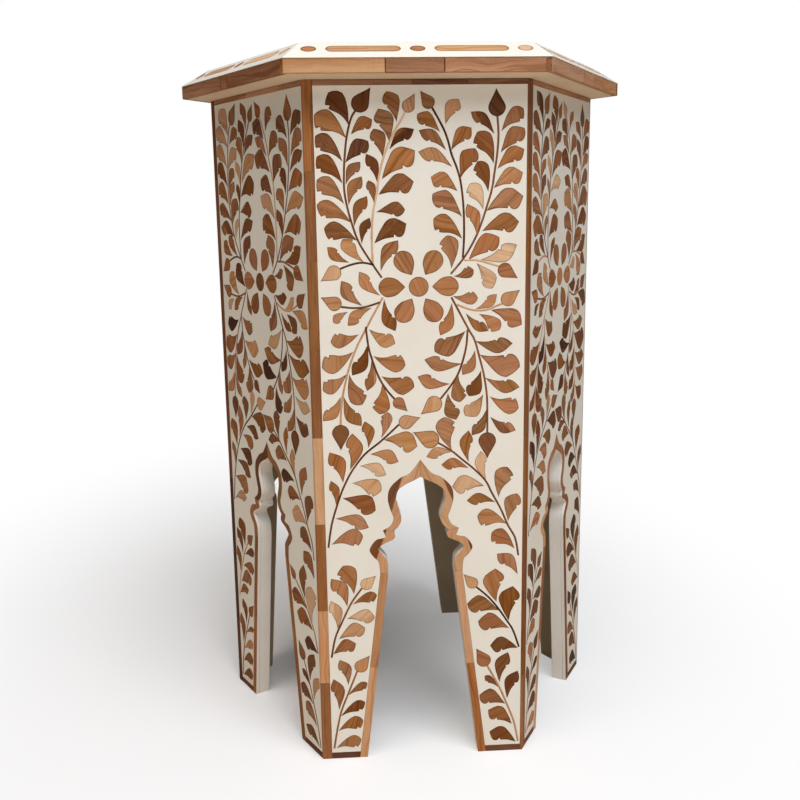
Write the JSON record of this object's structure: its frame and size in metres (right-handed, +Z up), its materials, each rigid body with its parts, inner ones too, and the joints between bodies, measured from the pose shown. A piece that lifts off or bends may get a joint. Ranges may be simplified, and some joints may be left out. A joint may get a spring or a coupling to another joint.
{
  "type": "inlaid hexagonal side table",
  "caption": "Tall hexagonal kursi side table: arched legs, mitred panels with resin and teak inlay, bevelled overhanging top.",
  "frame": {"origin": "on the floor under the middle of the hexagonal top", "axes": "+Z up, -Y towards the front panel, +X to the right seen from the front, through two corners of the hexagon"},
  "size_m": [0.412, 0.3568, 0.6121],
  "materials": {
    "painted_board": "satin off-white paint over wood",
    "white_resin": "sanded cream-white resin, satin",
    "teak_inlay": "flush teak inlay, satin lacquer",
    "teak_strip": "teak strip, satin lacquer",
    "dark_teak": "dark teak strip, satin lacquer",
    "edge_teak": "light teak edge band, satin lacquer",
    "batten_wood": "raw sawn batten"
  },
  "bodies": {
    "root": {"board_front": "painted_board", "board_front_right": "painted_board", "board_back_right": "painted_board", "board_back": "painted_board", "board_back_left": "painted_board", "board_front_left": "painted_board", "resin_skin_front": "white_resin", "resin_skin_front_right": "white_resin", "resin_skin_back_right": "white_resin", "resin_skin_back": "white_resin", "resin_skin_back_left": "white_resin", "resin_skin_front_left": "white_resin", "rosette_front": "teak_inlay", "rosette_front_right": "teak_inlay", "rosette_back_right": "teak_inlay", "rosette_back": "teak_inlay", "rosette_back_left": "teak_inlay", "rosette_front_left": "teak_inlay", "arch_trim_front": "teak_strip", "arch_trim_front_right": "teak_strip", "arch_trim_back_right": "teak_strip", "arch_trim_back": "teak_strip", "arch_trim_back_left": "teak_strip", "arch_trim_front_left": "teak_strip", "corner_strip_front": "teak_strip", "corner_strip_front_right": "teak_strip", "corner_strip_back_right": "teak_strip", "corner_strip_back": "teak_strip", "corner_strip_back_left": "teak_strip", "corner_strip_front_left": "teak_strip", "top_trim_front": "dark_teak", "top_trim_front_right": "dark_teak", "top_trim_back_right": "dark_teak", "top_trim_back": "dark_teak", "top_trim_back_left": "dark_teak", "top_trim_front_left": "dark_teak", "foot_trim_left_front": "dark_teak", "foot_trim_left_front_right": "dark_teak", "foot_trim_left_back_right": "dark_teak", "foot_trim_left_back": "dark_teak", "foot_trim_left_back_left": "dark_teak", "foot_trim_left_front_left": "dark_teak", "foot_trim_right_front": "dark_teak", "foot_trim_right_front_right": "dark_teak", "foot_trim_right_back_right": "dark_teak", "foot_trim_right_back": "dark_teak", "foot_trim_right_back_left": "dark_teak", "foot_trim_right_front_left": "dark_teak", "edge_band_front": "edge_teak", "edge_band_front_right": "edge_teak", "edge_band_back_right": "edge_teak", "edge_band_back": "edge_teak", "edge_band_back_left": "edge_teak", "edge_band_front_left": "edge_teak", "batten_frame": "batten_wood", "top_board": "painted_board", "top_resin_cap": "white_resin", "bevel_inlay": "teak_inlay", "top_medallion": "teak_inlay"}
  },
  "joints": []
}
